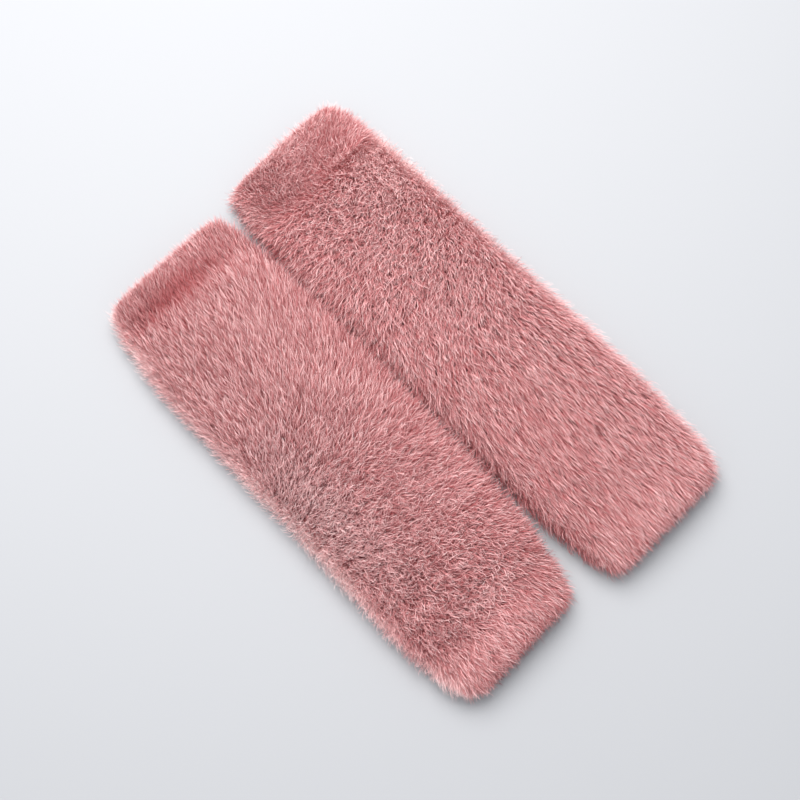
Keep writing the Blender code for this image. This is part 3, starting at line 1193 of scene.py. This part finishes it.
class LEGWARMERS_OT_knit(bpy.types.Operator):
    """Knit the two tubes, each in its three stretches"""

    bl_idname = "legwarmers.knit"
    bl_label = "Knit the Tubes"

    def execute(self, context):
        settings = context.scene.leg_warmers
        material = knit_material(settings.colours)
        for side, place in PLACES.items():
            for stretch in stretches(place, settings.sizes):
                knit_stretch(side, stretch, place, settings.sizes, material)
        return {"FINISHED"}


# A cuff's long hairs as a share of its short strands.
LONG_ON_CUFF = 0.8


class LEGWARMERS_OT_fur(bpy.types.Operator):
    """Grow the underfur and the long hairs on every stretch of knit"""

    bl_idname = "legwarmers.fur"
    bl_label = "Grow the Fur"

    def execute(self, context):
        settings = context.scene.leg_warmers
        fur, sizes = settings.fur, settings.sizes
        tree = fur_tree()
        material = fur_material(settings.colours)
        widths = {"underfur": fur.width, "long_hairs": fur.long_width}
        on_leg = {"underfur": fur.short_on_leg, "long_hairs": fur.long_on_leg}
        on_cuff = {"underfur": fur.on_cuff, "long_hairs": fur.on_cuff * LONG_ON_CUFF}
        outlines = {kind: outline for kind, (outline, _) in STRAND_KINDS.items()}
        strands = {kind: strand_object(kind, outline) for kind, outline in outlines.items()}
        for s, (side, place) in enumerate(PLACES.items()):
            for k, stretch in enumerate(stretches(place, sizes)):
                name = f"{side}_{stretch}"
                skin, cover = fur_skin(name + "_skin", stretch, place, sizes, fur)
                area = covered_area(skin, cover)
                counts = on_leg if stretch == "leg" else on_cuff
                for n, (kind, (_, measures)) in enumerate(STRAND_KINDS.items()):
                    inputs = {
                        "Strand": strands[kind],
                        "Strands in a Square Metre": counts[kind] / area,
                        "Seed": fur.seed + 100 * s + 30 * k + 10 * n,
                        "Width": widths[kind],
                        **dict(zip(STRAND_MEASURES, measures)),
                        "Tuft Size": fur.tuft,
                        "Tuft Pull": TUFT_PULL,
                        "Material": material,
                    }
                    piece = grown(f"{name}_{kind}", skin, tree, inputs)
                    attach(piece, BODY)
                bpy.data.objects.remove(skin, do_unlink=True)
        for strand in strands.values():
            bpy.data.objects.remove(strand, do_unlink=True)
        return {"FINISHED"}


class LEGWARMERS_OT_declare(bpy.types.Operator):
    """Attach each stretch of knit to the body and hide the solid that it stands in for"""

    bl_idname = "legwarmers.declare"
    bl_label = "Declare the Cloth"

    def execute(self, context):
        sizes = context.scene.leg_warmers.sizes
        for side, place in PLACES.items():
            for stretch, (start, stop, _) in stretches(place, sizes).items():
                name = f"{side}_{stretch}"
                knit = bpy.data.objects[name + "_knit"]
                left, right, _ = section_at(place, (start + stop) / 2)
                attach(knit, BODY)
                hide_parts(name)
        return {"FINISHED"}


class LEGWARMERS_PT_panel(bpy.types.Panel):
    """The leg warmers' tab in the sidebar"""

    bl_idname = "LEGWARMERS_PT_panel"
    bl_label = "Leg Warmers"
    bl_space_type = "VIEW_3D"
    bl_region_type = "UI"
    bl_category = "Leg Warmers"

    def draw(self, context):
        settings = context.scene.leg_warmers
        for group in (settings.sizes, settings.fur, settings.colours, settings.stage):
            box = self.layout.box()
            for name in group.__annotations__:
                box.prop(group, name)
        for operator in OPERATORS:
            self.layout.operator(operator.bl_idname)


OPERATORS = (
    LEGWARMERS_OT_stage,
    LEGWARMERS_OT_knit,
    LEGWARMERS_OT_fur,
    LEGWARMERS_OT_declare,
)
GROUPS = (LegWarmerSizes, LegWarmerFur, LegWarmerColours, LegWarmerStage, LegWarmerSettings)
CLASSES = (*GROUPS, *OPERATORS, LEGWARMERS_PT_panel)


def register():
    for cls in CLASSES:
        bpy.utils.register_class(cls)
    bpy.types.Scene.leg_warmers = PointerProperty(type=LegWarmerSettings)


def unregister():
    del bpy.types.Scene.leg_warmers
    for cls in reversed(CLASSES):
        bpy.utils.unregister_class(cls)


def main():
    register()
    bpy.ops.legwarmers.stage()
    bpy.ops.legwarmers.knit()
    bpy.ops.legwarmers.fur()
    bpy.ops.legwarmers.declare()


if __name__ == "__main__":
    main()
